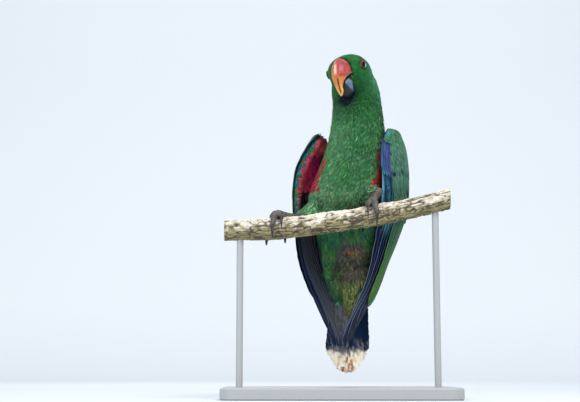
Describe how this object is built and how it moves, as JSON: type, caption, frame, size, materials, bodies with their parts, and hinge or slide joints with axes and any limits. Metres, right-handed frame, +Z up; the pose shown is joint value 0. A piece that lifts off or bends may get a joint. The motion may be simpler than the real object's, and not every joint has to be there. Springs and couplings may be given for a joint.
{
  "type": "perched eclectus parrot model",
  "caption": "Life-size still model of a male eclectus parrot with drooped wings, gripping a short branch on a plain display stand.",
  "frame": {"origin": "middle of the stand base's underside", "axes": "+Z up; the bird's breast faces -Y and its left side is towards +X; the branch runs along X"},
  "size_m": [0.24, 0.14, 0.3546],
  "materials": {
    "body_plumage": "soft green contour feathers with scarlet flanks",
    "wing_plumage": "green upper wing, blue leading edge, crimson under wing, dark flight feathers",
    "tail_plumage": "dark blue-grey vanes with worn cream tips",
    "bill_red": "coral red horn fading to a yellow tip",
    "bill_black": "black horn with a dull bloom",
    "eye": "wet black pupil in an orange-brown iris",
    "foot_skin": "dry grey-brown scaled skin",
    "claw": "dark worn horn",
    "bark": "weathered wrinkled bark",
    "stand_paint": "satin light grey paint"
  },
  "bodies": {
    "root": {"bill_upper": "bill_red", "bill_lower": "bill_black", "eye_left": "eye", "eye_right": "eye", "head": "body_plumage", "neck": "body_plumage", "torso": "body_plumage", "wing_left": "wing_plumage", "wing_right": "wing_plumage", "tail": "tail_plumage", "thigh_left": "body_plumage", "foot_left": "foot_skin", "claw_left_2": "claw", "claw_left_3": "claw", "claw_left_4": "claw", "claw_left_1": "claw", "thigh_right": "body_plumage", "foot_right": "foot_skin", "claw_right_2": "claw", "claw_right_3": "claw", "claw_right_4": "claw", "claw_right_1": "claw", "perch": "bark", "stand_base": "stand_paint", "stand_rod_left": "stand_paint", "stand_rod_right": "stand_paint"}
  },
  "joints": []
}
